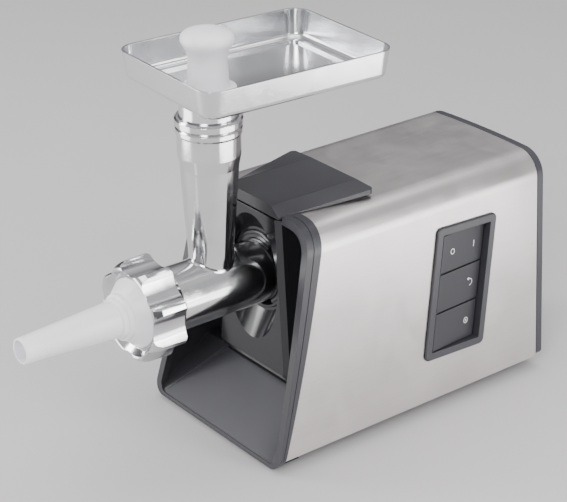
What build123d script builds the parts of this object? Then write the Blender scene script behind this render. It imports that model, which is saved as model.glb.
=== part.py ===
from build123d import *
import math
import os

os.makedirs("parts", exist_ok=True)

# Electric meat grinder, millimetres. +Z up, table at z = 0, the outlet points along -Y,
# x = 0 is the mid-plane, and the switch panel is on the +X side.

# ---- driving dimensions: housing ----
wall_foot_x = 83.4          # half width of the housing at the table
wall_lean = 0.071           # how much each side wall closes in per mm of height
steel_z = 12.0              # lower edge of the steel wrap
shoulder_z = 192.8          # where the side walls meet the arched top
crown_z = 195.0             # highest point of the arched top
shoulder_r = 22.0           # rounding between side and top
steel_t = 1.0
steel_rear_y = 222.5
rear_joint = 0.7            # open line between the steel and the rear cover
back_y = 230.0              # outer plane of the rear cover
frame_foot_z = 4.2
rim_proud = 0.8             # the front frame stands this far outside the steel
rim_w = 5.5                 # width of the front frame's rim, seen from the front
frame_wall = 3.0
rim_groove = 0.7            # depth of the line that splits the rim in side view
# leaning edges in side view, as three (y, z) points each
steel_front = ((-55.0, 0.0), (-25.6, 98.0), (-3.2, 200.0))
frame_front = ((-60.0, 0.0), (-37.0, 98.0), (-17.5, 200.0))
bulkhead_y = 8.0
bulkhead_t = 3.0
ramp_foot = (-58.0, 6.6)    # (y, z) of the drip ramp's lower edge
ramp_head = (-8.0, 42.0)    # and of its upper edge, under the column
rail_foot_x = 73.0          # inner edge of the raised side of the ramp, at its foot
rail_head_x = 48.0          # and at its head
rail_rise = 3.4             # the raised side stands this far above the ramp at its head

# ---- driving dimensions: front column and hood ----
column_y = -20.0
column_foot_z = 53.0
column_top_z = 189.7
column_top_x = 34.6         # half width at the top
column_flare = 0.086        # the column widens downwards by this much per mm
column_wall = 3.0
recess_x = 32.6
recess_z = 54.0
recess_mid_z = 130.5
hood_front_y = -21.5
hood_rear_y = 62.5
hood_top_z = 201.4
hood_crease_x = 27.5        # half width of the hood's flat top
hood_front_x = 36.5         # half width at its front edge
hood_rear_x = 50.5          # half width at its rear edge

# ---- driving dimensions: grinding head ----
axis_z = 134.5              # height of the barrel, auger and output shaft
barrel_r = 25.5
barrel_bore_r = 21.0
head_flange_r = 25.9
head_rear_y = 4.0
head_front_y = -128.0
thread_r = 30.6
thread_back_y = -108.0
plate_r = 27.0
plate_t = 6.5
knife_t = 5.0
lug_r = 29.5
lug_arc = 34.0              # degrees of each bayonet lug
feed_y = -58.4              # axis of the feed tube
mouth_z = 276.0
nut_r = 40.0
nut_back_y = -107.5
nut_front_y = -136.8
nut_lip_back_y = -130.0     # inner face of the lip that holds the filler's flange
nut_lip_front_y = -131.6
nut_lobes = 8
auger_r = 20.3
auger_pitch = 24.0
tube_tip_y = -230.0

# ---- driving dimensions: tray and pusher ----
tray_len = 170.2            # at the rim
tray_wide = 125.6
tray_mid_y = -15.1
tray_mid_x = 1.7
tray_turn = -2.8            # degrees, the tray sits slightly skewed on its neck
tray_rim_z = 319.0
tray_under_z = 296.0        # underside of the ledge round the floor
tray_ledge_z = 297.5
tray_floor_z = 295.6        # upper face of the sunk floor
tray_pan_z = 294.0          # underside of the sunk floor
tray_t = 1.8
tray_corner_r = 15.0
tray_edge_r = 5.5           # rounding of the outer lower edge
tray_ledge_w = 8.0
neck_r = 22.3
neck_hole_r = 18.6
neck_foot_z = 264.1
knob_z = 335.0
pusher_top_z = 342.5

# ---- driving dimensions: gear train and motor ----
pressure_angle = 20.0
gear_slack = 0.12           # flank backlash at the pitch circle
stage_one = (1.0, 14, 58)   # module, pinion teeth, wheel teeth
stage_two = (1.5, 14, 50)
stage_three = (2.0, 14, 42)
angle_two = -110.0          # direction from the output axis to idler two
angle_one = -10.0           # from idler two to idler one
angle_motor = -160.0        # from idler one to the motor
case_front_y = 12.0
case_rear_y = 60.0
cover_y = 64.0
case_wall = 3.0
stage_three_y = (19.0, 33.0)
stage_two_y = (36.0, 46.0)
stage_one_y = (49.0, 57.0)
stator_y = (92.0, 134.0)
bracket_rear_y = 167.0
bracket_t = 3.0
stator_w = 66.0
stator_h = 70.0
rotor_r = 17.3
commutator_y = (142.0, 155.0)
motor_shaft_r = 4.0
idler_pin_r = 3.5
running_gap = 0.05

# ---- driving dimensions: switch panel ----
panel_y = 134.3
panel_z = 103.0
panel_half_w = 32.6
panel_half_h = 55.8
panel_lean = 0.148          # forward lean of the panel's long edges
panel_drop = 0.038          # fall of its short edges towards the rear
panel_border = 6.6
panel_proud = 2.2
well_depth = 15.0
key_tilt = 6.5              # degrees, the rear edge of each key is sunk
key_gap = 1.9               # groove between neighbouring keys
rib_t = 0.8                 # rib of the bezel inside each groove
key_t = 4.6


def half_width(z):
    return wall_foot_x - wall_lean * z


def across(y):
    """Plane across the housing at y; its normal points to the front, along -Y."""
    return Plane.XZ.offset(-y)


def axis_plane(x, y, z):
    """Plane across Y whose origin is a shaft centre."""
    return Plane(origin=(x, y, z), x_dir=(1, 0, 0), z_dir=(0, -1, 0))


def polar(center, distance, angle):
    reach = math.radians(angle)
    return (center[0] + distance * math.cos(reach), center[1] + distance * math.sin(reach))


def housing_face(y, inset, foot_z, foot_r=0.0):
    """Arched cross-section of the housing at y, moved in by inset."""
    foot_x = half_width(foot_z) - inset
    shoulder_x = half_width(shoulder_z) - inset
    with BuildSketch(across(y)) as face:
        with BuildLine():
            Polyline(
                (-shoulder_x, shoulder_z - inset),
                (-foot_x, foot_z),
                (foot_x, foot_z),
                (shoulder_x, shoulder_z - inset),
            )
            ThreePointArc(
                (shoulder_x, shoulder_z - inset), (0, crown_z - inset), (-shoulder_x, shoulder_z - inset)
            )
        make_face()
        fillet(face.vertices().group_by(Axis.Y)[-1], shoulder_r - inset)
        if foot_r > 0:
            fillet(face.vertices().group_by(Axis.Y)[0], foot_r)
    return face.sketch


def side_region(front_edge, rear_edge, low_z, high_z):
    """Side-view region between two leaning arcs, as a sketch on the YZ plane."""
    with BuildSketch(Plane.YZ) as region:
        with BuildLine():
            front = ThreePointArc(*front_edge)
            rear = ThreePointArc(*rear_edge)
            Line(front @ 1, rear @ 1)
            Line(front @ 0, rear @ 0)
        make_face()
        with BuildLine():
            Polyline((-300, low_z), (300, low_z), (300, high_z), (-300, high_z), close=True)
        make_face(mode=Mode.INTERSECT)
    return region.sketch


def shifted(edge, dy):
    return tuple((y + dy, z) for y, z in edge)


def sector(radius, arc):
    """Flat sector of a disc, centred on the local X axis, as a private sketch."""
    half = math.radians(arc / 2)
    with BuildSketch(mode=Mode.PRIVATE) as wedge:
        with BuildLine():
            CenterArc((0, 0), radius, -arc / 2, arc)
            Line((0, 0), (radius * math.cos(half), radius * math.sin(half)))
            Line((0, 0), (radius * math.cos(half), -radius * math.sin(half)))
        make_face()
    return wedge.sketch


def finish(builder, label):
    builder.part.label = label
    export_step(builder.part, f"parts/{label}.step")


# =====================================================================================
# Housing
# =====================================================================================
panel_plane = Plane(
    origin=(half_width(panel_z), panel_y, panel_z), x_dir=(0, 1, 0), z_dir=(1, 0, wall_lean)
)


def panel_outline(plane, margin, corner_r):
    """Leaning parallelogram of the switch panel, its outline moved in by margin."""
    with BuildSketch(plane) as outline:
        with BuildLine():
            wide = panel_half_w - margin
            high = panel_half_h - margin
            corners = [
                (side * wide + panel_lean * level, level - panel_drop * side * wide)
                for side, level in ((-1, high), (1, high), (1, -high), (-1, -high))
            ]
            Polyline(*corners, close=True)
        make_face()
        fillet(outline.vertices(), corner_r)
    return outline.sketch


with BuildPart() as steel_wrap:
    extrude(housing_face(steel_rear_y, 0.0, steel_z), amount=steel_rear_y + 70)
    extrude(
        housing_face(steel_rear_y + 1, steel_t, steel_z - 5), amount=steel_rear_y + 75, mode=Mode.SUBTRACT
    )
    extrude(
        side_region(shifted(steel_front, 0.3), shifted(steel_front, 400), -5, 230),
        amount=100,
        both=True,
        mode=Mode.INTERSECT,
    )
    extrude(
        panel_outline(panel_plane.offset(-5), panel_border - 2.4, 4.0), amount=10, mode=Mode.SUBTRACT
    )
finish(steel_wrap, "steel_wrap")

# sleeve that reaches back inside the steel to the bulkhead
with BuildPart() as frame_sleeve:
    extrude(housing_face(bulkhead_y + bulkhead_t, steel_t + 0.3, steel_z + 1.5), amount=80)
    extrude(
        housing_face(bulkhead_y, steel_t + 0.3 + frame_wall, ramp_foot[1]),
        amount=90,
        mode=Mode.SUBTRACT,
    )
    with BuildSketch(across(bulkhead_y - 1)):
        with Locations((0, axis_z)):
            Circle(32.6)
    extrude(amount=-bulkhead_t - 2, mode=Mode.SUBTRACT)
    extrude(
        side_region(shifted(steel_front, -6), shifted(steel_front, 400), -5, 230),
        amount=100,
        both=True,
        mode=Mode.INTERSECT,
    )

# raised sides of the ramp, which start level with its foot and close in towards the column
with BuildPart() as ramp_rails:
    with BuildSketch(Plane.YZ):
        with BuildLine():
            Polyline(
                ramp_foot,
                (ramp_head[0], ramp_head[1] + rail_rise),
                (bulkhead_y + 1, ramp_head[1] + rail_rise),
                (bulkhead_y + 1, ramp_head[1] - frame_wall),
                (ramp_head[0], ramp_head[1] - frame_wall),
                close=True,
            )
        make_face()
    extrude(amount=100, both=True)
    with BuildSketch(Plane.XY):
        for side in (-1, 1):
            with BuildLine():
                Polyline(
                    (side * 100, ramp_foot[0] - 5),
                    (side * rail_foot_x, ramp_foot[0] - 5),
                    (side * rail_foot_x, ramp_foot[0]),
                    (side * rail_head_x, ramp_head[0]),
                    (side * rail_head_x, bulkhead_y + 1),
                    (side * 100, bulkhead_y + 1),
                    close=True,
                )
            make_face()
    extrude(amount=100, mode=Mode.INTERSECT)

# drip ramp with its skirt and its shelf under the column
with BuildPart() as frame_ramp:
    with BuildSketch(Plane.YZ):
        with BuildLine():
            Polyline(
                (ramp_foot[0] - 1.5, frame_foot_z),
                (ramp_foot[0] - 1.5, ramp_foot[1] - 1),
                ramp_foot,
                ramp_head,
                (bulkhead_y + 1, ramp_head[1]),
                (bulkhead_y + 1, ramp_head[1] - frame_wall),
                (ramp_head[0] + 1.2, ramp_head[1] - frame_wall),
                (ramp_foot[0] + 4.0, frame_foot_z + frame_wall),
                (-34.0, frame_foot_z + frame_wall),
                (-34.0, frame_foot_z),
                close=True,
            )
        make_face()
    extrude(amount=100, both=True)
    add(ramp_rails.part)
    extrude(
        housing_face(bulkhead_y + 1, steel_t + 1.0, frame_foot_z, foot_r=9.0),
        amount=90,
        mode=Mode.INTERSECT,
    )
    extrude(
        side_region(shifted(frame_front, 1.0), shifted(frame_front, 400), -5, 230),
        amount=100,
        both=True,
        mode=Mode.INTERSECT,
    )

crown_cut_y = (-45.0, 3.0)
plinth_y = (2.0, hood_rear_y - 4.0)


def hood_side(y):
    """Half width of the hood at y."""
    share = (y - hood_front_y) / (hood_rear_y - hood_front_y)
    return hood_front_x + (hood_rear_x - hood_front_x) * share


# shallow line that runs down the outside of the rim, between its two bands
line_front = tuple((0.55 * a[0] + 0.45 * b[0], a[1]) for a, b in zip(frame_front, steel_front))

with BuildPart() as rim_line:
    extrude(housing_face(20, -rim_proud - 2.0, frame_foot_z - 2.0), amount=90)
    extrude(
        housing_face(21, rim_groove - rim_proud, frame_foot_z - 3.0, foot_r=11.0),
        amount=92,
        mode=Mode.SUBTRACT,
    )
    extrude(
        side_region(line_front, shifted(line_front, 0.6), -5, 230),
        amount=100,
        both=True,
        mode=Mode.INTERSECT,
    )

with BuildPart() as front_frame:
    # rim that wraps the front edge of the steel
    extrude(housing_face(20, -rim_proud, frame_foot_z, foot_r=11.0), amount=90)
    extrude(housing_face(21, rim_w, frame_foot_z + 3.0, foot_r=8.0), amount=92, mode=Mode.SUBTRACT)
    extrude(side_region(frame_front, steel_front, -5, 230), amount=100, both=True, mode=Mode.INTERSECT)
    add(rim_line.part, mode=Mode.SUBTRACT)
    add(frame_sleeve.part)
    add(frame_ramp.part)
    # the crown of the rim ends at the sides of the hood
    with BuildSketch(Plane.XY.offset(150)):
        with BuildLine():
            near_x = hood_side(crown_cut_y[0]) + 0.4
            far_x = hood_side(crown_cut_y[1]) + 0.4
            Polyline(
                (-near_x, crown_cut_y[0]),
                (near_x, crown_cut_y[0]),
                (far_x, crown_cut_y[1]),
                (-far_x, crown_cut_y[1]),
                close=True,
            )
        make_face()
    extrude(amount=60, mode=Mode.SUBTRACT)
finish(front_frame, "front_frame")


def column_face(y, inset, foot_z, top_z):
    """Upright face of the front column, narrower at the top."""
    with BuildSketch(across(y)) as face:
        with BuildLine():
            foot_x = column_top_x + column_flare * (column_top_z - foot_z) - inset
            top_x = column_top_x + column_flare * (column_top_z - top_z) - inset
            Polyline((-top_x, top_z), (-foot_x, foot_z), (foot_x, foot_z), (top_x, top_z), close=True)
        make_face()
        fillet(face.vertices().group_by(Axis.Y)[0], 7.0)
    return face.sketch


with BuildPart() as front_column:
    extrude(column_face(bulkhead_y - 0.1, 0.0, column_foot_z, column_top_z), amount=bulkhead_y - 0.1 - column_y)
    front_rim = front_column.faces().sort_by(Axis.Y)[0].edges()
    chamfer(front_rim.filter_by(lambda e: abs(e.tangent_at(0.5).X) < 0.5), length=3.0, length2=5.0)
    extrude(
        column_face(bulkhead_y + 1, column_wall, column_foot_z + column_wall, column_top_z - column_wall),
        amount=bulkhead_y + 1 - column_y - 14,
        mode=Mode.SUBTRACT,
    )
    # dished oval recess around the barrel
    with BuildSketch(across(column_y - 0.5)):
        with Locations((0, recess_mid_z)):
            Ellipse(recess_x + 0.7, recess_z + 0.7)
    with BuildSketch(across(column_y + 10)):
        with Locations((0, axis_z)):
            Ellipse(recess_x + 0.2, recess_x + 2.0)
    loft(mode=Mode.SUBTRACT)
    with BuildSketch(across(bulkhead_y)):
        with Locations((0, axis_z)):
            Circle(32.1)
    extrude(amount=40, mode=Mode.SUBTRACT)
finish(front_column, "front_column")

hood_sections = (
    # y, edge x, edge top z, edge bottom z
    (hood_front_y, hood_front_x, 194.1, 192.4),
    (hood_rear_y, hood_rear_x, 200.6, 196.6),
)
plinth_in = 3.5             # the hood stands on a plinth set in from its edge


def hood_face(y, edge_x, edge_top, edge_bottom):
    """Cross-section of the hood with its creased top."""
    with BuildSketch(across(y)) as face:
        with BuildLine():
            Polyline(
                (-hood_crease_x, hood_top_z),
                (-edge_x, edge_top),
                (-edge_x, edge_bottom),
                (edge_x, edge_bottom),
                (edge_x, edge_top),
                (hood_crease_x, hood_top_z),
                close=True,
            )
        make_face()
    return face.sketch


with BuildPart() as top_hood:
    for section in hood_sections:
        add(hood_face(*section))
    loft(ruled=True)
    rear_corners = top_hood.edges().filter_by(Axis.Z).group_by(Axis.Y)[-1]
    fillet(rear_corners, 4.0)
    with BuildSketch(Plane.XY.offset(crown_z - 3.0)):
        with BuildLine():
            Polyline(
                (-hood_side(plinth_y[0]) + plinth_in, plinth_y[0]),
                (hood_side(plinth_y[0]) - plinth_in, plinth_y[0]),
                (hood_side(plinth_y[1]) - plinth_in, plinth_y[1]),
                (-hood_side(plinth_y[1]) + plinth_in, plinth_y[1]),
                close=True,
            )
        make_face()
    extrude(amount=5.0)
    extrude(housing_face(90, -0.3, 100), amount=94.5, mode=Mode.SUBTRACT)
finish(top_hood, "top_hood")

foot_x = 50.0
foot_y = (-12.0, 196.0)
foot_r = 10.0
base_z = steel_z - 2.0
base_t = 3.0
base_screw_spots = [(sx * 72.0, y) for sx in (-1, 1) for y in (0.0, 100.0, 205.0)]
foot_spots = [(sx * foot_x, y) for sx in (-1, 1) for y in foot_y]

with BuildPart() as base_plate:
    with BuildSketch(Plane.XY.offset(base_z)):
        with Locations((0, 96)):
            Rectangle(2 * (half_width(steel_z) - steel_t - 2.0), 248)
        with Locations(*[(0, 70 + 14 * row) for row in range(6)]):
            SlotOverall(56, 4.5, mode=Mode.SUBTRACT)
        with Locations(*base_screw_spots):
            Circle(1.9, mode=Mode.SUBTRACT)
        with Locations(*foot_spots):
            Circle(3.0, mode=Mode.SUBTRACT)
    extrude(amount=base_t)
finish(base_plate, "base_plate")

with BuildPart() as rubber_feet:
    with BuildSketch(Plane.XY):
        with Locations(*foot_spots):
            Circle(foot_r)
    extrude(amount=base_z, taper=-4)
    with BuildSketch(Plane.XY.offset(base_z)):
        with Locations(*foot_spots):
            Circle(2.9)
    extrude(amount=base_t + 1.5)
finish(rubber_feet, "rubber_feet")

with BuildPart() as base_screws:
    for x, y in base_screw_spots:
        with BuildSketch(Plane.XY.offset(base_z)):
            with Locations((x, y)):
                Circle(3.4)
        extrude(amount=-1.6)
        with BuildSketch(Plane.XY.offset(base_z)):
            with Locations((x, y)):
                Circle(1.7)
        extrude(amount=9)
        with BuildSketch(Plane.XY.offset(base_z - 1.6)):
            with Locations((x, y)):
                Rectangle(4.4, 0.9)
                Rectangle(0.9, 4.4)
        extrude(amount=0.9, mode=Mode.SUBTRACT)
finish(base_screws, "base_screws")

inlet_z = 62.0
inlet_w = 27.6
inlet_h = 20.4
vent_rows = 8
rear_screw_spots = [(sx * 56.0, z) for sx in (-1, 1) for z in (30.0, 165.0)]
panel_front_y = back_y - 3.2      # outer face of the recessed rear panel
panel_back_y = back_y - 5.6

with BuildPart() as rear_cover:
    # outer rim flush with the steel, closed by a recessed panel
    extrude(housing_face(back_y, 0.0, steel_z, foot_r=4.0), amount=back_y - steel_rear_y - rear_joint)
    fillet(rear_cover.faces().sort_by(Axis.Y)[-1].edges(), 1.0)
    extrude(housing_face(back_y + 1, 6.0, steel_z + 6.0, foot_r=4.0), amount=4.2, mode=Mode.SUBTRACT)
    # tongue that plugs into the steel
    extrude(housing_face(steel_rear_y + 1, steel_t + 0.3, steel_z + 1.2, foot_r=3.0), amount=8)
    extrude(
        housing_face(panel_back_y, steel_t + 2.7, steel_z + 3.6, foot_r=3.0),
        amount=20,
        mode=Mode.SUBTRACT,
    )
    with BuildSketch(across(back_y + 1)):
        with Locations(*[(0, 104 + 8.5 * row) for row in range(vent_rows)]):
            SlotOverall(84, 3.6)
        with Locations((0, inlet_z)):
            Rectangle(inlet_w + 4.4, inlet_h + 4.4)
        with Locations(*rear_screw_spots):
            Circle(1.9)
    extrude(amount=12, mode=Mode.SUBTRACT)
finish(rear_cover, "rear_cover")

with BuildPart() as rear_screws:
    for x, z in rear_screw_spots:
        with BuildSketch(axis_plane(x, panel_front_y, z)):
            Circle(3.4)
        extrude(amount=-1.6)
        with BuildSketch(axis_plane(x, panel_front_y, z)):
            Circle(1.7)
        extrude(amount=9)
        with BuildSketch(axis_plane(x, panel_front_y + 1.6, z)):
            Rectangle(4.4, 0.9)
            Rectangle(0.9, 4.4)
        extrude(amount=0.9, mode=Mode.SUBTRACT)
finish(rear_screws, "rear_screws")

with BuildPart() as mains_inlet:
    # appliance inlet: flange outside the panel, shroud reaching inwards
    with BuildSketch(axis_plane(0, panel_front_y + 0.1, inlet_z)):
        RectangleRounded(50, 30, 5)
    extrude(amount=-2.4)
    with BuildSketch(axis_plane(0, panel_front_y + 0.1, inlet_z)):
        RectangleRounded(inlet_w + 3.8, inlet_h + 3.8, 2)
    extrude(amount=20)
    with BuildSketch(axis_plane(0, panel_front_y + 4, inlet_z)):
        Rectangle(inlet_w, inlet_h)
    extrude(amount=21, mode=Mode.SUBTRACT)
    with BuildSketch(axis_plane(0, panel_front_y - 10, inlet_z)):
        with Locations((-7, -2), (0, 2), (7, -2)):
            Rectangle(2.2, 4.2)
    extrude(amount=20, mode=Mode.SUBTRACT)
finish(mains_inlet, "mains_inlet")

with BuildPart() as inlet_pins:
    with BuildSketch(axis_plane(0, panel_front_y - 3.5, inlet_z)):
        with Locations((-7, -2), (0, 2), (7, -2)):
            Rectangle(2.0, 4.0)
    extrude(amount=24)
finish(inlet_pins, "inlet_pins")

# =====================================================================================
# Switch panel
# =====================================================================================
lean_angle = math.degrees(math.atan(panel_lean))
lean_cos = math.cos(math.radians(lean_angle))
field_w = 2 * (panel_half_w - panel_border)          # well width along the housing
field_h = 2 * (panel_half_h - panel_border)
rise = math.tan(math.radians(lean_angle) - math.atan(panel_drop))
key_face_depth = panel_proud - 0.5
key_front_gap = 0.9
front_step = 0.9
key_rear_gap = 1.2
front_u = -field_w / 2 * lean_cos + key_front_gap
key_w = field_w * lean_cos - key_front_gap - key_rear_gap
key_h = field_h / 3 / lean_cos
# keys lie in a plane that turns with the panel's lean and tips inwards at the rear
lean_sin = math.sin(math.radians(lean_angle))
tilt_cos = math.cos(math.radians(key_tilt))
tilt_sin = math.sin(math.radians(key_tilt))
panel_out = panel_plane.z_dir
lean_x = panel_plane.x_dir * lean_cos - panel_plane.y_dir * lean_sin
lean_plane = Plane(origin=panel_plane.origin, x_dir=lean_x, z_dir=panel_out)
key_plane = Plane(
    origin=panel_plane.origin + lean_x * front_u + panel_out * key_face_depth,
    x_dir=lean_x * tilt_cos - panel_out * tilt_sin,
    z_dir=panel_out * tilt_cos + lean_x * tilt_sin,
)
pin_r = 0.9
pin_depth = 2.6              # pin axis below the keys' outer faces
edge_pin_u = 2.4
rocker_pin_u = key_w / 2
stem_u = 30.0
stem_t = 3.0
stem_len = 8.0
switch_top = -12.6           # outer end of the switch bodies, from the steel's surface
switch_len = 20.0


def key_outline(plane, low, high, front_reach=0.0, rear_reach=0.0):
    """Band of the key field between two heights at its middle, as a sketch on plane."""
    with BuildSketch(plane) as outline:
        with BuildLine():
            front_drop = rise * (key_w / 2 + front_reach)
            rear_rise = rise * (key_w / 2 + rear_reach)
            Polyline(
                (-front_reach, low - front_drop),
                (-front_reach, high - front_drop),
                (key_w + rear_reach, high + rear_rise),
                (key_w + rear_reach, low + rear_rise),
                close=True,
            )
        make_face()
    return outline.sketch


def along_key(u, v, depth):
    """Plane at a point of the key field, facing along the keys' hinge line."""
    return Plane(key_plane * Location((u, v, -depth), (-90, 0, 0)))


def key_part(index, pin_u, stem_at):
    """One key, index -1, 0 or 1 counted upwards, with its hinge bore and switch stem."""
    middle = index * key_h
    clear = key_gap / 2
    with BuildPart(mode=Mode.PRIVATE) as key:
        extrude(key_outline(key_plane, middle - key_h / 2 + clear, middle + key_h / 2 - clear), amount=-key_t)
        fillet(key.faces().sort_by(Axis.X)[-1].edges(), 0.6)
        # step along the lower front edge, which swings forwards when the key is pressed
        with BuildSketch(key_plane.offset(-key_t + front_step)):
            with Locations((0, middle)):
                Rectangle(1.5 * front_step, 1.5 * key_h)
        extrude(amount=-2 * front_step, mode=Mode.SUBTRACT)
        with BuildSketch(key_plane.offset(-key_t + 0.5)):
            with Locations((stem_at, middle + rise * (stem_at - key_w / 2))):
                Rectangle(stem_t, 6.0)
        extrude(amount=-stem_len)
        with BuildSketch(along_key(pin_u, middle, pin_depth)):
            Circle(pin_r + running_gap)
        extrude(amount=key_h, both=True, mode=Mode.SUBTRACT)
    return key.part


with BuildPart() as power_rocker:
    add(key_part(1, rocker_pin_u, rocker_pin_u))
finish(power_rocker, "power_rocker")

with BuildPart() as reverse_key:
    add(key_part(0, edge_pin_u, stem_u))
finish(reverse_key, "reverse_key")

with BuildPart() as reset_key:
    add(key_part(-1, edge_pin_u, stem_u))
finish(reset_key, "reset_key")

with BuildPart() as key_pins:
    with BuildSketch(along_key(rocker_pin_u, key_h / 2 - 0.4, pin_depth)):
        Circle(pin_r)
    extrude(amount=key_h + 1.0)
    with BuildSketch(along_key(edge_pin_u, -3 * key_h / 2 - 1.8 - rise * key_w / 2, pin_depth)):
        Circle(pin_r)
    extrude(amount=2 * key_h + 2.2)
finish(key_pins, "key_pins")

with BuildPart() as switch_bezel:
    extrude(panel_outline(panel_plane.offset(0.05), 0.0, 5.0), amount=panel_proud - 0.05)
    chamfer(switch_bezel.faces().sort_by(Axis.X)[-1].edges(), 0.9)
    extrude(panel_outline(panel_plane.offset(0.5), panel_border - 2.0, 3.5), amount=-well_depth)
    extrude(
        panel_outline(panel_plane.offset(panel_proud + 1), panel_border, 1.0),
        amount=-40,
        mode=Mode.SUBTRACT,
    )
    # ribs in the grooves between the keys
    for level in (-key_h / 2, key_h / 2):
        rib_plane = key_plane.offset(-1.2)
        extrude(key_outline(rib_plane, level - rib_t / 2, level + rib_t / 2, 1.6, 2.6), amount=-8.0)
    add(key_pins.part, mode=Mode.SUBTRACT)
finish(switch_bezel, "switch_bezel")


def switch_body(index, slot_at, slot_w):
    """Switch or breaker behind one key, with the slot that its stem reaches into."""
    middle = index * key_h
    with BuildPart(mode=Mode.PRIVATE) as body:
        with BuildSketch(lean_plane.offset(switch_top)):
            with Locations((front_u + key_w / 2, middle)):
                RectangleRounded(36, 24, 1.5)
        extrude(amount=-switch_len)
        with BuildSketch(lean_plane.offset(switch_top + 1)):
            with Locations((front_u + slot_at, middle + rise * (slot_at - key_w / 2))):
                Rectangle(slot_w, 9.0)
        extrude(amount=-10, mode=Mode.SUBTRACT)
        with BuildSketch(lean_plane.offset(switch_top - switch_len)):
            with Locations((front_u + key_w / 2, middle)):
                with GridLocations(12, 10, 2, 2):
                    Rectangle(0.8, 4.8)
        extrude(amount=-7)
    return body.part


with BuildPart() as power_switch:
    add(switch_body(1, rocker_pin_u, 9.0))
finish(power_switch, "power_switch")

with BuildPart() as reverse_switch:
    add(switch_body(0, stem_u, 8.0))
finish(reverse_switch, "reverse_switch")

with BuildPart() as reset_breaker:
    add(switch_body(-1, stem_u, 8.0))
finish(reset_breaker, "reset_breaker")

# bracket that carries the three switch bodies behind the bezel
with BuildPart() as switch_bracket:
    extrude(panel_outline(panel_plane.offset(-well_depth + 0.4), panel_border - 2.0, 3.0), amount=-3.0)
    for index in (-1, 0, 1):
        with BuildSketch(lean_plane.offset(-well_depth + 1)):
            with Locations((front_u + key_w / 2, index * key_h)):
                RectangleRounded(36.0, 24.0, 1.5)
        extrude(amount=-5, mode=Mode.SUBTRACT)
finish(switch_bracket, "switch_bracket")

# =====================================================================================
# Grinding head
# =====================================================================================
with BuildPart() as head_socket:
    with BuildSketch(axis_plane(0, -12.0, axis_z)):
        Circle(31.8)
    extrude(amount=-24.0)
    fillet(head_socket.faces().sort_by(Axis.Y)[0].edges(), 1.0)
    # fine ring turned into the front face
    with BuildSketch(axis_plane(0, -13.0, axis_z)):
        Circle(29.6)
        Circle(28.6, mode=Mode.SUBTRACT)
    extrude(amount=-2.0, mode=Mode.SUBTRACT)
    # front lip, bayonet groove and the clearance of the drive socket
    with BuildSketch(axis_plane(0, -13.0, axis_z)):
        Circle(head_flange_r + 0.1)
    extrude(amount=-18.2, mode=Mode.SUBTRACT)
    with BuildSketch(axis_plane(0, -5.0, axis_z)):
        Circle(lug_r + 0.3)
    extrude(amount=-8.0, mode=Mode.SUBTRACT)
    with BuildSketch(axis_plane(0, 0, axis_z)):
        Circle(14.0)
    extrude(amount=-20, mode=Mode.SUBTRACT)
    with BuildSketch(axis_plane(0, 5.0, axis_z)):
        with PolarLocations(21.0, 3, start_angle=30):
            Circle(1.9)
    extrude(amount=-20, mode=Mode.SUBTRACT)
    # entry notches for the lugs
    with BuildSketch(axis_plane(0, -13.0, axis_z)):
        with PolarLocations(0, 3, start_angle=90 - 45):
            add(sector(lug_r + 0.2, lug_arc + 4))
    extrude(amount=-8.6, mode=Mode.SUBTRACT)
finish(head_socket, "head_socket")
tube_outer = (
    # z, radius: lower end inside the barrel, draft up to the neck, plain cylinder, bead collar
    (axis_z, 17.0),
    (158.0, 17.2),
    (236.0, 22.4),
    (246.0, 24.3),
    (262.0, 24.3),
)

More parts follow.
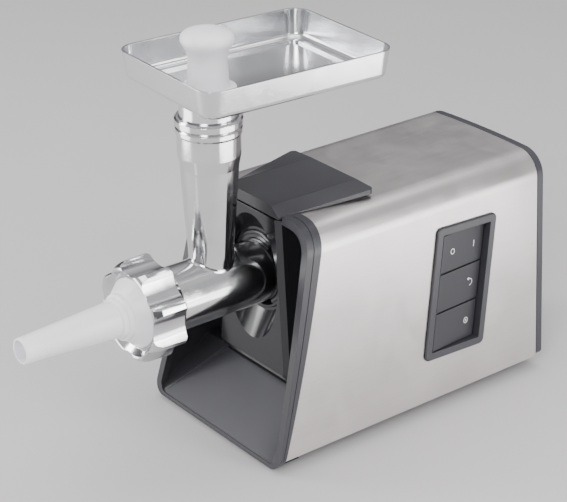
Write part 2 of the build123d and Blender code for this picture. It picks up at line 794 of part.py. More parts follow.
with BuildPart() as head_casting:
    # barrel, thread land and rear flange as one turned outline
    with BuildSketch(Plane.YZ):
        with BuildLine():
            Polyline(
                (head_rear_y, axis_z),
                (head_rear_y, axis_z + head_flange_r),
                (-9.0, axis_z + head_flange_r),
                (-11.0, axis_z + barrel_r),
                (-101.0, axis_z + barrel_r),
                (-106.0, axis_z + thread_r - 2.5),
                (thread_back_y, axis_z + thread_r),
                (head_front_y + 1.0, axis_z + thread_r),
                (head_front_y, axis_z + thread_r - 1.0),
                (head_front_y, axis_z),
                close=True,
            )
        make_face()
    revolve(axis=Axis((0, 0, axis_z), (0, 1, 0)))
    # bayonet lugs
    with BuildSketch(axis_plane(0, -4.6, axis_z)):
        with PolarLocations(0, 3, start_angle=90):
            add(sector(lug_r, lug_arc))
    extrude(amount=-7.0)
    # feed tube with its drafted wall and double bead
    with BuildSketch(Plane(origin=(0, feed_y, 0), x_dir=(1, 0, 0), z_dir=(0, -1, 0))):
        with BuildLine():
            Polyline(
                (0, tube_outer[0][0]),
                *[(r, z) for z, r in tube_outer],
                (25.4, 263.6),
                (25.4, 267.0),
                (24.2, 268.4),
                (25.9, 269.8),
                (25.9, 274.4),
                (24.6, mouth_z),
                (0, mouth_z),
                close=True,
            )
        make_face()
    revolve(axis=Axis((0, feed_y, 0), (0, 0, 1)))
    root = head_casting.edges().filter_by(
        lambda e: e.geom_type not in (GeomType.LINE, GeomType.CIRCLE)
        and e.center().Z > axis_z + 8
        and abs(e.center().Y - feed_y) < 24
    )
    fillet(root, 3.0)
    # barrel bore, knife and plate chamber, bush bore for the auger's shank
    with BuildSketch(axis_plane(0, -8.0, axis_z)):
        Circle(barrel_bore_r)
    extrude(amount=150, mode=Mode.SUBTRACT)
    with BuildSketch(axis_plane(0, -111.0, axis_z)):
        Circle(plate_r + 0.15)
    extrude(amount=60, mode=Mode.SUBTRACT)
    with BuildSketch(axis_plane(0, -12.0, axis_z)):
        Circle(8.0 + running_gap)
    extrude(amount=-30, mode=Mode.SUBTRACT)
    # pocket that lets the drive socket reach into the rear flange
    with BuildSketch(axis_plane(0, -2.0, axis_z)):
        Circle(14.0)
    extrude(amount=-30, mode=Mode.SUBTRACT)
    # drafted feed bore with the seat of the tray's neck
    with BuildSketch(Plane(origin=(0, feed_y, 0), x_dir=(1, 0, 0), z_dir=(0, -1, 0))):
        with BuildLine():
            Polyline(
                (0, axis_z),
                (14.6, axis_z),
                (14.8, 160.0),
                (20.4, 248.0),
                (20.4, 264.0),
                (22.6, 264.0),
                (22.6, mouth_z + 1),
                (0, mouth_z + 1),
                close=True,
            )
        make_face()
    revolve(axis=Axis((0, feed_y, 0), (0, 0, 1)), mode=Mode.SUBTRACT)
    # key that stops the plate from turning
    with BuildSketch(axis_plane(0, head_front_y + plate_t, axis_z)):
        with Locations((0, -plate_r)):
            Circle(1.6)
    extrude(amount=plate_t - 0.6)
finish(head_casting, "head_casting")

with BuildPart() as grinder_plate:
    with BuildSketch(axis_plane(0, head_front_y + plate_t, axis_z)):
        Circle(plate_r)
        Circle(4.0 + running_gap, mode=Mode.SUBTRACT)
        for ring, count in ((9.5, 7), (16.0, 13), (22.2, 19)):
            with PolarLocations(ring, count):
                Circle(2.1, mode=Mode.SUBTRACT)
        with Locations((0, -plate_r)):
            Circle(1.9, mode=Mode.SUBTRACT)
    extrude(amount=plate_t)
finish(grinder_plate, "grinder_plate")

knife_rear_y = head_front_y + plate_t + knife_t + 0.3

with BuildSketch() as blade:
    with BuildLine():
        Polyline((0, -4.0), (24.5, -1.5), (25.3, 4.5), (9.0, 6.5), (0, 5.0), close=True)
    make_face()

with BuildPart() as knife:
    with BuildSketch(axis_plane(0, knife_rear_y, axis_z)):
        Circle(10.0)
        with PolarLocations(0, 4):
            add(blade.sketch)
        Rectangle(10.1, 10.1, mode=Mode.SUBTRACT)
    extrude(amount=knife_t)
finish(knife, "knife")

auger_front_y = knife_rear_y + 0.4
auger_rear_y = -9.0
flight_len = abs(auger_front_y - auger_rear_y) - 4.0

with BuildPart() as flight:
    with BuildLine():
        helix = Helix(
            pitch=auger_pitch,
            height=flight_len - 9,
            radius=8.0,
            center=(0, auger_rear_y - 6.0, axis_z),
            direction=(0, -1, 0),
        )
    start = helix @ 0
    run = helix % 0
    outward = (start - Vector(0, start.Y, axis_z)).normalized()
    with BuildSketch(Plane(origin=start, x_dir=outward.cross(run), z_dir=run)):
        with BuildLine():
            Polyline((-3.0, 0), (-1.0, auger_r - 8.0), (1.0, auger_r - 8.0), (3.0, 0), close=True)
        make_face()
    sweep(path=helix, is_frenet=True)

with BuildPart() as auger:
    # core that swells towards the outlet, shank through the rear bush, square ends
    with BuildSketch(Plane.YZ):
        with BuildLine():
            Polyline(
                (7.0, axis_z),
                (7.0, axis_z + 4.9),
                (-1.6, axis_z + 4.9),
                (-1.6, axis_z + 8.0),
                (auger_rear_y + 0.4, axis_z + 8.0),
                (auger_rear_y - 1.0, axis_z + 13.0),
                (auger_rear_y - 4.0, axis_z + 9.0),
                (auger_front_y, axis_z + 12.0),
                (auger_front_y, axis_z + 4.9),
                (knife_rear_y - knife_t - 0.2, axis_z + 4.9),
                (knife_rear_y - knife_t - 0.2, axis_z + 4.0),
                (head_front_y + 0.2, axis_z + 4.0),
                (head_front_y + 0.2, axis_z),
                close=True,
            )
        make_face()
    revolve(axis=Axis((0, 0, axis_z), (0, 1, 0)))
    with BuildSketch(axis_plane(0, -1.6, axis_z)):
        Rectangle(10.0, 10.0)
    extrude(amount=-15)
    with BuildSketch(axis_plane(0, auger_front_y, axis_z)):
        Rectangle(10.0, 10.0)
    extrude(amount=knife_t + 0.2)
    add(flight.part)
finish(auger, "auger")

nut_flute_r = 22.5
nut_valley_r = 33.0
nut_lip_r = 28.0

with BuildPart() as ring_nut:
    # ridges end in a rounded nose, from which a dished cone falls to the lip
    with BuildSketch(Plane.YZ):
        with BuildLine():
            Polyline(
                (nut_back_y, axis_z),
                (nut_back_y, axis_z + nut_r - 1.6),
                (nut_back_y - 1.6, axis_z + nut_r),
                (nut_front_y + 7.0, axis_z + nut_r - 0.6),
                (nut_front_y + 2.2, axis_z + nut_r - 2.2),
                (nut_front_y + 0.5, axis_z + nut_r - 3.6),
                (nut_front_y, axis_z + nut_r - 5.2),
                (nut_front_y + 0.5, axis_z + nut_r - 6.6),
                (nut_lip_front_y, axis_z + nut_lip_r + 0.9),
                (nut_lip_front_y, axis_z),
                close=True,
            )
        make_face()
    revolve(axis=Axis((0, 0, axis_z), (0, 1, 0)))
    with BuildSketch(axis_plane(0, nut_back_y + 1, axis_z)):
        with PolarLocations(nut_valley_r + nut_flute_r, nut_lobes, start_angle=-2.5):
            Circle(nut_flute_r)
    extrude(amount=60, mode=Mode.SUBTRACT)
    with BuildSketch(axis_plane(0, nut_back_y + 1, axis_z)):
        Circle(thread_r + 0.1)
    extrude(amount=nut_back_y + 1 - nut_lip_back_y, mode=Mode.SUBTRACT)
    with BuildSketch(axis_plane(0, nut_back_y + 1, axis_z)):
        Circle(nut_lip_r)
    extrude(amount=60, mode=Mode.SUBTRACT)
finish(ring_nut, "ring_nut")

flange_front_y = nut_lip_back_y + 0.2
flange_back_y = head_front_y - 0.1

with BuildPart() as sausage_tube:
    with BuildSketch(Plane.YZ):
        with BuildLine():
            Polyline(
                # outside, from the flange to the open tip
                (flange_back_y, axis_z + thread_r - 0.4),
                (flange_front_y, axis_z + thread_r - 0.4),
                (flange_front_y, axis_z + nut_lip_r - 0.5),
                (nut_lip_front_y - 0.6, axis_z + nut_lip_r - 0.5),
                (-141.6, axis_z + 19.6),
                (-142.0, axis_z + 18.6),
                (-145.4, axis_z + 18.2),
                (-146.0, axis_z + 16.2),
                (-149.6, axis_z + 15.6),
                (-150.4, axis_z + 14.4),
                (tube_tip_y + 0.6, axis_z + 10.0),
                (tube_tip_y, axis_z + 9.6),
                # inside, back to the flange
                (tube_tip_y, axis_z + 8.4),
                (-150.0, axis_z + 12.6),
                (-142.6, axis_z + 14.6),
                (-130.8, axis_z + 25.0),
                (flange_back_y, axis_z + 25.0),
                close=True,
            )
        make_face()
    revolve(axis=Axis((0, 0, axis_z), (0, 1, 0)))
finish(sausage_tube, "sausage_tube")

# =====================================================================================
# Tray and pusher
# =====================================================================================
tray_draft = 8.0
draft_tan = math.tan(math.radians(tray_draft))
tray_place = Location((tray_mid_x, tray_mid_y), tray_turn)


def tray_block(low_z, high_z, inset, corner_r):
    """Tapered block of the tray's outline between two heights, in the current part."""
    shrink = 2 * (inset + (tray_rim_z - low_z) * draft_tan)
    with BuildSketch(Plane.XY.offset(low_z)) as block:
        with Locations(tray_place):
            RectangleRounded(tray_wide - shrink, tray_len - shrink, corner_r)
    extrude(block.sketch, amount=high_z - low_z, taper=-tray_draft)


with BuildPart() as tray_hollow:
    tray_block(tray_ledge_z, tray_rim_z + 1, tray_t, tray_corner_r - 4.5)
    fillet(tray_hollow.faces().sort_by(Axis.Z)[0].edges(), tray_edge_r - tray_t)

with BuildPart() as tray:
    tray_block(tray_under_z, tray_rim_z, 0.0, tray_corner_r - 3.0)
    fillet(tray.faces().sort_by(Axis.Z)[0].edges(), tray_edge_r)
    add(tray_hollow.part, mode=Mode.SUBTRACT)
    # sunk floor
    pan_shrink = 2 * (tray_ledge_w + (tray_rim_z - tray_under_z) * draft_tan)
    with BuildSketch(Plane.XY.offset(tray_pan_z)):
        with Locations(tray_place):
            RectangleRounded(tray_wide - pan_shrink, tray_len - pan_shrink, 8.0)
    extrude(amount=tray_ledge_z - tray_pan_z)
    with BuildSketch(Plane.XY.offset(tray_floor_z)):
        with Locations(tray_place):
            RectangleRounded(
                tray_wide - pan_shrink - 2 * tray_t, tray_len - pan_shrink - 2 * tray_t, 8.0 - tray_t
            )
    extrude(amount=5.0, mode=Mode.SUBTRACT)
    # neck that stands in the mouth of the feed tube
    with BuildSketch(Plane.XY.offset(neck_foot_z)):
        with Locations((0, feed_y)):
            Circle(neck_r)
    extrude(amount=tray_pan_z + 0.5 - neck_foot_z)
    with BuildSketch(Plane.XY.offset(neck_foot_z - 1)):
        with Locations((0, feed_y)):
            Circle(neck_hole_r)
    extrude(amount=tray_rim_z - neck_foot_z, mode=Mode.SUBTRACT)
finish(tray, "tray")

pusher_seat_z = tray_floor_z + 0.1
pusher_hollow_r = 13.2

with BuildPart() as pusher:
    with BuildSketch(Plane(origin=(0, feed_y, 0), x_dir=(1, 0, 0), z_dir=(0, -1, 0))):
        with BuildLine():
            skirt = Polyline(
                (0, 190.0),
                (15.4, 190.0),
                (16.2, 192.0),
                (18.1, 240.0),
                (18.1, pusher_seat_z),
                (21.2, pusher_seat_z),
                (21.2, pusher_seat_z + 2.2),
                (16.6, pusher_seat_z + 3.6),
                (15.7, 303.0),
                (15.1, 312.0),
            )
            knob = Spline(
                skirt @ 1,
                (14.8, 320.5),
                (17.3, 328.8),
                (20.1, knob_z),
                (18.0, 339.4),
                (13.0, 341.4),
                (0, pusher_top_z),
                tangents=((-0.06, 1), (-1, 0)),
            )
            Line(knob @ 1, (0, 190.0))
        make_face()
    revolve(axis=Axis((0, feed_y, 0), (0, 0, 1)))
    with BuildSketch(Plane.XY.offset(189)):
        with Locations((0, feed_y)):
            Circle(pusher_hollow_r)
    extrude(amount=95, mode=Mode.SUBTRACT)
finish(pusher, "pusher")

# =====================================================================================
# Gear train
# =====================================================================================
output_axis = (0.0, axis_z)
centre_three = stage_three[0] * (stage_three[1] + stage_three[2]) / 2
centre_two = stage_two[0] * (stage_two[1] + stage_two[2]) / 2
centre_one = stage_one[0] * (stage_one[1] + stage_one[2]) / 2
idler_two_axis = polar(output_axis, centre_three, angle_two)
idler_one_axis = polar(idler_two_axis, centre_two, angle_one)
motor_axis = polar(idler_one_axis, centre_one, angle_motor)
addendum = 0.8
dedendum = 1.1


def involute(angle):
    return math.tan(angle) - angle


def gear_sketch(center, y, module, teeth, tooth_at):
    """Involute spur gear across Y, with one tooth centred at the angle tooth_at."""
    pitch_r = module * teeth / 2
    base_r = pitch_r * math.cos(math.radians(pressure_angle))
    tip_r = pitch_r + addendum * module
    root_r = pitch_r - dedendum * module
    flank_low_r = max(base_r, root_r)
    half_pitch = math.pi / (2 * teeth) - gear_slack / (2 * pitch_r)

    def half_angle(radius):
        if radius <= base_r:
            return half_pitch + involute(math.radians(pressure_angle))
        return half_pitch + involute(math.radians(pressure_angle)) - involute(math.acos(base_r / radius))

    flank = [flank_low_r + (tip_r - flank_low_r) * step / 3 for step in range(4)]
    radii = ([root_r] if root_r < flank_low_r else []) + flank
    points = []
    for tooth in range(teeth):
        middle = math.radians(tooth_at) + 2 * math.pi * tooth / teeth
        rising = [(r, middle - half_angle(r)) for r in radii]
        falling = [(r, middle + half_angle(r)) for r in reversed(radii)]
        points += [(r * math.cos(a), r * math.sin(a)) for r, a in rising + falling]
    with BuildSketch(axis_plane(center[0], y, center[1])) as gear:
        with BuildLine():
            Polyline(*points, close=True)
        make_face()
    return gear.sketch


def boss(center, y0, y1, radius, mode=Mode.ADD):
    """Plain round boss or hole along Y from y0 to y1, inside the current part."""
    with BuildSketch(axis_plane(center[0], y1, center[1])) as disc:
        Circle(radius)
    extrude(disc.sketch, amount=y1 - y0, mode=mode)


angle_back_three = angle_two + 180
angle_back_two = angle_one + 180
angle_back_one = angle_motor + 180
m1, pinion1, wheel1 = stage_one
m2, pinion2, wheel2 = stage_two
m3, pinion3, wheel3 = stage_three


def gear_ring(center, y_span, module, teeth, tooth_at):
    extrude(gear_sketch(center, y_span[1], module, teeth, tooth_at), amount=y_span[1] - y_span[0])


# wheels carry a gap, pinions a tooth, on the line between the two centres
with BuildPart() as output_gear:
    gear_ring(output_axis, stage_three_y, m3, wheel3, angle_two + 180 / wheel3)
    boss(output_axis, stage_three_y[0] - 1, stage_three_y[1] + 1, 10.0, Mode.SUBTRACT)
    with BuildSketch(axis_plane(0, stage_three_y[1] + 1, axis_z)):
        with PolarLocations(25.0, 6):
            Circle(6.0)
    extrude(amount=20, mode=Mode.SUBTRACT)
finish(output_gear, "output_gear")

with BuildPart() as idler_gear_two:
    gear_ring(idler_two_axis, (stage_three_y[0], stage_three_y[1] + 1.6), m3, pinion3, angle_back_three)
    boss(idler_two_axis, 16.4, stage_two_y[0], 9.0)
    gear_ring(idler_two_axis, stage_two_y, m2, wheel2, angle_one + 180 / wheel2)
    boss(idler_two_axis, stage_two_y[1], case_rear_y - 0.4, 7.0)
    boss(idler_two_axis, 15, 62, idler_pin_r + running_gap, Mode.SUBTRACT)
finish(idler_gear_two, "idler_gear_two")

with BuildPart() as idler_gear_one:
    gear_ring(idler_one_axis, (stage_two_y[0], stage_two_y[1] + 1.6), m2, pinion2, angle_back_two)
    boss(idler_one_axis, 16.4, stage_one_y[0], 6.5)
    gear_ring(idler_one_axis, stage_one_y, m1, wheel1, angle_motor + 180 / wheel1)
    boss(idler_one_axis, stage_one_y[1], case_rear_y - 0.4, 6.5)
    boss(idler_one_axis, 15, 62, idler_pin_r + running_gap, Mode.SUBTRACT)
finish(idler_gear_one, "idler_gear_one")

with BuildPart() as idler_pins:
    for center in (idler_one_axis, idler_two_axis):
        boss(center, 13.5, 62.8, idler_pin_r)
finish(idler_pins, "idler_pins")

socket_y = (-1.4, 8.0)
bearing_y = (12.2, 18.8)

with BuildPart() as output_shaft:
    boss(output_axis, *socket_y, 13.0)
    boss(output_axis, socket_y[1], stage_three_y[1] + 1.0, 10.0)
    boss(output_axis, stage_three_y[1] + 1.0, 63.0, 6.0)
    with BuildSketch(axis_plane(0, socket_y[0] - 1, axis_z)):
        Rectangle(10.2, 10.2)
    extrude(amount=-17, mode=Mode.SUBTRACT)
finish(output_shaft, "output_shaft")

with BuildPart() as shaft_seal:
    boss(output_axis, 8.6, 11.8, 13.9)
    boss(output_axis, 8, 12, 10.0 + running_gap, Mode.SUBTRACT)
finish(shaft_seal, "shaft_seal")


def bearing(center, y0, y1, inner_r, outer_r):
    """Shielded ball bearing as one ring with a recessed shield on each side."""
    with BuildPart(mode=Mode.PRIVATE) as ring:
        boss(center, y0, y1, outer_r)
        boss(center, y0 - 1, y1 + 1, inner_r, Mode.SUBTRACT)
        for face_y, depth in ((y0, -0.5), (y1, 0.5)):
            with BuildSketch(axis_plane(center[0], face_y, center[1])):
                Circle(outer_r - (outer_r - inner_r) * 0.28)
                Circle(inner_r + (outer_r - inner_r) * 0.28, mode=Mode.SUBTRACT)
            extrude(amount=depth, mode=Mode.SUBTRACT)
    return ring.part


with BuildPart() as output_bearing:
    add(bearing(output_axis, *bearing_y, 10.0 + running_gap, 16.0))
finish(output_bearing, "output_bearing")

with BuildPart() as output_bush:
    boss(output_axis, case_rear_y + 0.2, cover_y, 9.0)
    boss(output_axis, case_rear_y - 1, cover_y + 1, 6.0 + running_gap, Mode.SUBTRACT)
finish(output_bush, "output_bush")

gear_rooms = (
    (output_axis, m3 * wheel3 / 2 + addendum * m3 + 1.6),
    (idler_two_axis, m2 * wheel2 / 2 + addendum * m2 + 1.6),
    (idler_one_axis, m1 * wheel1 / 2 + addendum * m1 + 1.6),
)
case_ears = [
    polar(output_axis, gear_rooms[0][1] + case_wall, 40),
    polar(output_axis, gear_rooms[0][1] + case_wall, 140),
    polar(idler_two_axis, gear_rooms[1][1] + case_wall, 165),
    polar(idler_two_axis, gear_rooms[1][1] + case_wall, 215),
    polar(idler_one_axis, gear_rooms[2][1] + case_wall, -15),
    polar(idler_one_axis, gear_rooms[2][1] + case_wall, -75),
]
ear_r = 4.6
case_screw_r = 1.5


def gear_hull(y, margin):
    """Outline drawn tightly round the three wheels, moved out by margin."""
    with BuildSketch(axis_plane(0, y, 0)) as outline:
        for (x, z), radius in gear_rooms:
            with Locations((x, z)):
                Circle(radius + margin)
        make_hull()
    return outline.sketch


with BuildPart() as gearbox_case:
    extrude(gear_hull(case_rear_y, case_wall), amount=case_rear_y - case_front_y)
    for ear in case_ears:
        boss(ear, case_rear_y - 12, case_rear_y, ear_r)
    # two legs that stand on the base plate
    with BuildSketch(across(52)):
        with Locations((-34, 40), (34, 40)):
            Rectangle(12, 2 * (40 - base_z - base_t))
    extrude(amount=34)
    extrude(gear_hull(case_rear_y + 1, 0.0), amount=case_rear_y + 1 - case_front_y - 4.0, mode=Mode.SUBTRACT)
    boss(output_axis, case_front_y + 0.2, bearing_y[1], 18.6)
    boss(output_axis, case_front_y - 1, bearing_y[1] + 1, 16.0, Mode.SUBTRACT)
    for center in (idler_one_axis, idler_two_axis):
        boss(center, 13.5, 17, idler_pin_r, Mode.SUBTRACT)
    for ear in case_ears:
        boss(ear, case_rear_y - 11, case_rear_y + 1, case_screw_r, Mode.SUBTRACT)
    with BuildSketch(axis_plane(0, case_front_y - 1, axis_z)):
        with PolarLocations(23.4, 3, start_angle=30):
            Circle(1.5)
    extrude(amount=-10, mode=Mode.SUBTRACT)
finish(gearbox_case, "gearbox_case")

motor_bolt_spots = [(motor_axis[0] + sx * 26, motor_axis[1] + sz * 28) for sx in (-1, 1) for sz in (-1, 1)]

with BuildPart() as gearbox_cover:
    extrude(gear_hull(cover_y, case_wall), amount=cover_y - case_rear_y)
    for ear in case_ears:
        boss(ear, case_rear_y, cover_y, ear_r)
    boss(output_axis, case_rear_y - 1, cover_y + 1, 9.0, Mode.SUBTRACT)
    boss(motor_axis, case_rear_y - 1, cover_y + 1, 9.0, Mode.SUBTRACT)
    for center in (idler_one_axis, idler_two_axis):
        boss(center, case_rear_y - 1, 62.8, idler_pin_r, Mode.SUBTRACT)
    for ear in case_ears:
        boss(ear, case_rear_y - 1, cover_y + 1, case_screw_r + 0.1, Mode.SUBTRACT)
finish(gearbox_cover, "gearbox_cover")

with BuildPart() as gearbox_screws:
    for ear in case_ears:
        boss(ear, cover_y, cover_y + 2.6, 2.9)
        boss(ear, case_rear_y - 10, cover_y, case_screw_r)
        with BuildSketch(axis_plane(ear[0], cover_y + 3, ear[1])):
            Rectangle(3.8, 0.8)
            Rectangle(0.8, 3.8)
        extrude(amount=1.4, mode=Mode.SUBTRACT)
finish(gearbox_screws, "gearbox_screws")

# =====================================================================================
# Universal motor
# =====================================================================================
motor_x, motor_z = motor_axis

with BuildPart() as motor_pinion:
    gear_ring(motor_axis, (stage_one_y[0], stage_one_y[1] + 0.6), m1, pinion1, angle_back_one)
    boss(motor_axis, 48, 60, motor_shaft_r, Mode.SUBTRACT)
finish(motor_pinion, "motor_pinion")

with BuildPart() as rotor_shaft:
    boss(motor_axis, stage_one_y[0] - 0.4, bracket_rear_y + 1, motor_shaft_r)
finish(rotor_shaft, "rotor_shaft")

slot_count = 12

with BuildPart() as rotor_core:
    boss(motor_axis, *stator_y, rotor_r)
    boss(motor_axis, stator_y[0] - 1, stator_y[1] + 1, motor_shaft_r, Mode.SUBTRACT)
    with BuildSketch(axis_plane(motor_x, stator_y[1] + 1, motor_z)):
        with PolarLocations(rotor_r - 3.6, slot_count):
            Circle(2.4)
        with PolarLocations(rotor_r - 0.6, slot_count):
            Rectangle(3.0, 1.3)
    extrude(amount=60, mode=Mode.SUBTRACT)
finish(rotor_core, "rotor_core")

with BuildPart() as rotor_windings:
    with BuildSketch(axis_plane(motor_x, stator_y[1] + 0.2, motor_z)):
        with PolarLocations(rotor_r - 3.6, slot_count):
            Circle(2.2)
    extrude(amount=stator_y[1] - stator_y[0] + 0.4)
    boss(motor_axis, stator_y[0] - 6, stator_y[0] - 0.1, 15.6)
    boss(motor_axis, stator_y[1] + 0.1, stator_y[1] + 6, 15.6)
    fillet(rotor_windings.faces().sort_by(Axis.Y)[0].edges(), 2.4)
    fillet(rotor_windings.faces().sort_by(Axis.Y)[-1].edges(), 2.4)
    boss(motor_axis, stator_y[0] - 8, stator_y[1] + 8, motor_shaft_r, Mode.SUBTRACT)
finish(rotor_windings, "rotor_windings")

with BuildPart() as commutator:
    boss(motor_axis, *commutator_y, 11.0)
    boss(motor_axis, commutator_y[0], commutator_y[0] + 2, 12.6)
    with BuildSketch(axis_plane(motor_x, commutator_y[1] + 1, motor_z)):
        with PolarLocations(11.0, 24):
            Rectangle(1.8, 0.5)
    extrude(amount=12, mode=Mode.SUBTRACT)
    boss(motor_axis, commutator_y[0] - 1, commutator_y[1] + 1, motor_shaft_r, Mode.SUBTRACT)
finish(commutator, "commutator")

fan_y = (76.0, 84.0)

with BuildPart() as motor_fan:
    boss(motor_axis, fan_y[0], fan_y[0] + 1.6, 28.0)
    boss(motor_axis, *fan_y, 8.0)
    with BuildSketch(axis_plane(motor_x, fan_y[1], motor_z)):
        with PolarLocations(17.0, 11):
            Rectangle(20, 1.4, rotation=14)
    extrude(amount=fan_y[1] - fan_y[0])
    boss(motor_axis, fan_y[0] - 1, fan_y[1] + 1, motor_shaft_r, Mode.SUBTRACT)
finish(motor_fan, "motor_fan")

window_w = 18.0
window_h = 8.0
window_spots = [(sx * 14.0, sz * 24.0) for sx in (-1, 1) for sz in (-1, 1)]

with BuildPart() as stator_core:
    with BuildSketch(axis_plane(motor_x, stator_y[1], motor_z)):
        RectangleRounded(stator_w, stator_h, 9)
        Circle(rotor_r + 0.7, mode=Mode.SUBTRACT)
        with Locations(*window_spots):
            RectangleRounded(window_w, window_h, 1.5, mode=Mode.SUBTRACT)
    extrude(amount=stator_y[1] - stator_y[0])
    for spot in motor_bolt_spots:
        boss(spot, stator_y[0] - 1, stator_y[1] + 1, 2.0, Mode.SUBTRACT)
finish(stator_core, "stator_core")

with BuildPart() as field_coils:
    with BuildSketch(axis_plane(motor_x, stator_y[1] + 4, motor_z)):
        with Locations(*window_spots):
            RectangleRounded(window_w - 1.6, window_h - 1.6, 1.5)
    extrude(amount=stator_y[1] - stator_y[0] + 8)
    for y0, y1 in ((stator_y[0] - 6.4, stator_y[0] - 0.3), (stator_y[1] + 0.3, stator_y[1] + 6.4)):
        with BuildSketch(axis_plane(motor_x, y1, motor_z)):
            Circle(28.0)
            Circle(20.6, mode=Mode.SUBTRACT)
            Rectangle(10.0, 80.0, mode=Mode.SUBTRACT)
        extrude(amount=y1 - y0)
finish(field_coils, "field_coils")


def motor_bracket(plate_y, boss_y, pillar_y):
    """End bracket: square plate, bearing boss and four pillars round the motor bolts."""
    with BuildPart(mode=Mode.PRIVATE) as bracket:
        with BuildSketch(axis_plane(motor_x, plate_y[1], motor_z)):
            RectangleRounded(stator_w, stator_h, 9)
            with PolarLocations(21.5, 4):
                Circle(6.0, mode=Mode.SUBTRACT)
        extrude(amount=plate_y[1] - plate_y[0])
        boss(motor_axis, *boss_y, 13.6)
        for spot in motor_bolt_spots:
            boss(spot, *pillar_y, 4.2)
        boss(motor_axis, boss_y[0] - 5, boss_y[1] + 5, 9.0, Mode.SUBTRACT)
        for spot in motor_bolt_spots:
            boss(spot, pillar_y[0] - 5, pillar_y[1] + 5, 2.0, Mode.SUBTRACT)
    return bracket.part


front_bearing_y = (66.4, 73.4)
rear_bearing_y = (159.6, 166.6)

with BuildPart() as motor_front_bracket:
    add(motor_bracket((cover_y, cover_y + bracket_t), (cover_y, 74.0), (cover_y + bracket_t, stator_y[0])))
    boss(motor_axis, front_bearing_y[0], 76, 11.0, Mode.SUBTRACT)
finish(motor_front_bracket, "motor_front_bracket")

with BuildPart() as motor_rear_bracket:
    add(
        motor_bracket(
            (bracket_rear_y - bracket_t, bracket_rear_y),
            (159.0, bracket_rear_y),
            (stator_y[1], bracket_rear_y - bracket_t),
        )
    )
    boss(motor_axis, 158, rear_bearing_y[1], 11.0, Mode.SUBTRACT)
finish(motor_rear_bracket, "motor_rear_bracket")

with BuildPart() as rotor_bearings:
    add(bearing(motor_axis, *front_bearing_y, motor_shaft_r + running_gap, 11.0))
    add(bearing(motor_axis, *rear_bearing_y, motor_shaft_r + running_gap, 11.0))
finish(rotor_bearings, "rotor_bearings")

with BuildPart() as motor_bolts:
    for spot in motor_bolt_spots:
        boss(spot, bracket_rear_y, bracket_rear_y + 3.0, 3.6)
        boss(spot, cover_y + 0.2, bracket_rear_y, 1.9)
        with BuildSketch(axis_plane(spot[0], bracket_rear_y + 4, spot[1])):
            RegularPolygon(1.7, 6)
        extrude(amount=3.0, mode=Mode.SUBTRACT)
finish(motor_bolts, "motor_bolts")

brush_y = 148.5
brush_plate_y = (156.0, 158.4)
brush_in = 11.3
brush_out = 27.0

with BuildPart() as brush_holders:
    with BuildSketch(axis_plane(motor_x, brush_plate_y[1], motor_z)):
        RectangleRounded(64, 40, 4)
        Circle(14.6, mode=Mode.SUBTRACT)
    extrude(amount=brush_plate_y[1] - brush_plate_y[0])
    for side in (-1, 1):
        with BuildSketch(Plane(origin=(motor_x + side * 15, brush_y, motor_z), z_dir=(side, 0, 0))):
            Rectangle(11.2, 2 * (brush_plate_y[0] - brush_y) + 0.4)
        extrude(amount=16)
        with BuildSketch(Plane(origin=(motor_x + side * 14, brush_y, motor_z), z_dir=(side, 0, 0))):
            Rectangle(8.2, 8.2)
        extrude(amount=15, mode=Mode.SUBTRACT)
finish(brush_holders, "brush_holders")

with BuildPart() as carbon_brushes:
    for side in (-1, 1):
        with BuildSketch(Plane(origin=(motor_x + side * brush_in, brush_y, motor_z), z_dir=(side, 0, 0))):
            Rectangle(8.0, 8.0)
        extrude(amount=brush_out - brush_in)
finish(carbon_brushes, "carbon_brushes")

mount_top_z = motor_z - stator_h / 2

with BuildPart() as motor_mounts:
    for y in (cover_y + bracket_t / 2, bracket_rear_y - bracket_t / 2):
        with BuildSketch(Plane.XY.offset(base_z + base_t)):
            with Locations((motor_x, y)):
                Rectangle(34, 9)
        extrude(amount=mount_top_z - base_z - base_t)
finish(motor_mounts, "motor_mounts")

# =====================================================================================
# Electrics
# =====================================================================================
board_y = 206.0
board_t = 1.6
board_mid_z = 134.0
board_w = 76.0
board_h = 76.0
post_spots = [(sx * 33.0, board_mid_z + sz * 34.0) for sx in (-1, 1) for sz in (-1, 1)]

with BuildPart() as circuit_board:
    with BuildSketch(axis_plane(0, board_y + board_t, board_mid_z)):
        RectangleRounded(board_w, board_h, 2)
    extrude(amount=board_t)
    for spot in post_spots:
        boss(spot, board_y - 1, board_y + 3, 1.7, Mode.SUBTRACT)
finish(circuit_board, "circuit_board")

with BuildPart() as board_posts:
    for spot in post_spots:
        boss(spot, board_y + board_t, panel_back_y, 2.3)
        boss(spot, board_y, board_y + board_t, 1.6)
        boss(spot, board_y - 1.6, board_y, 2.6)
finish(board_posts, "board_posts")

with BuildPart() as board_parts:
    with BuildSketch(axis_plane(0, board_y, board_mid_z)):
        with Locations((-20, 18)):
            Circle(9)
        with Locations((14, 18)):
            Rectangle(28, 15)
        with Locations((-16, -16)):
            Rectangle(26, 13)
        with Locations((16, -18)):
            Rectangle(32, 10)
    extrude(amount=16)
finish(board_parts, "board_parts")
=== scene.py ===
"""Looks of the electric meat grinder: studio, materials for every CAD node, and fine surface pieces."""

import math

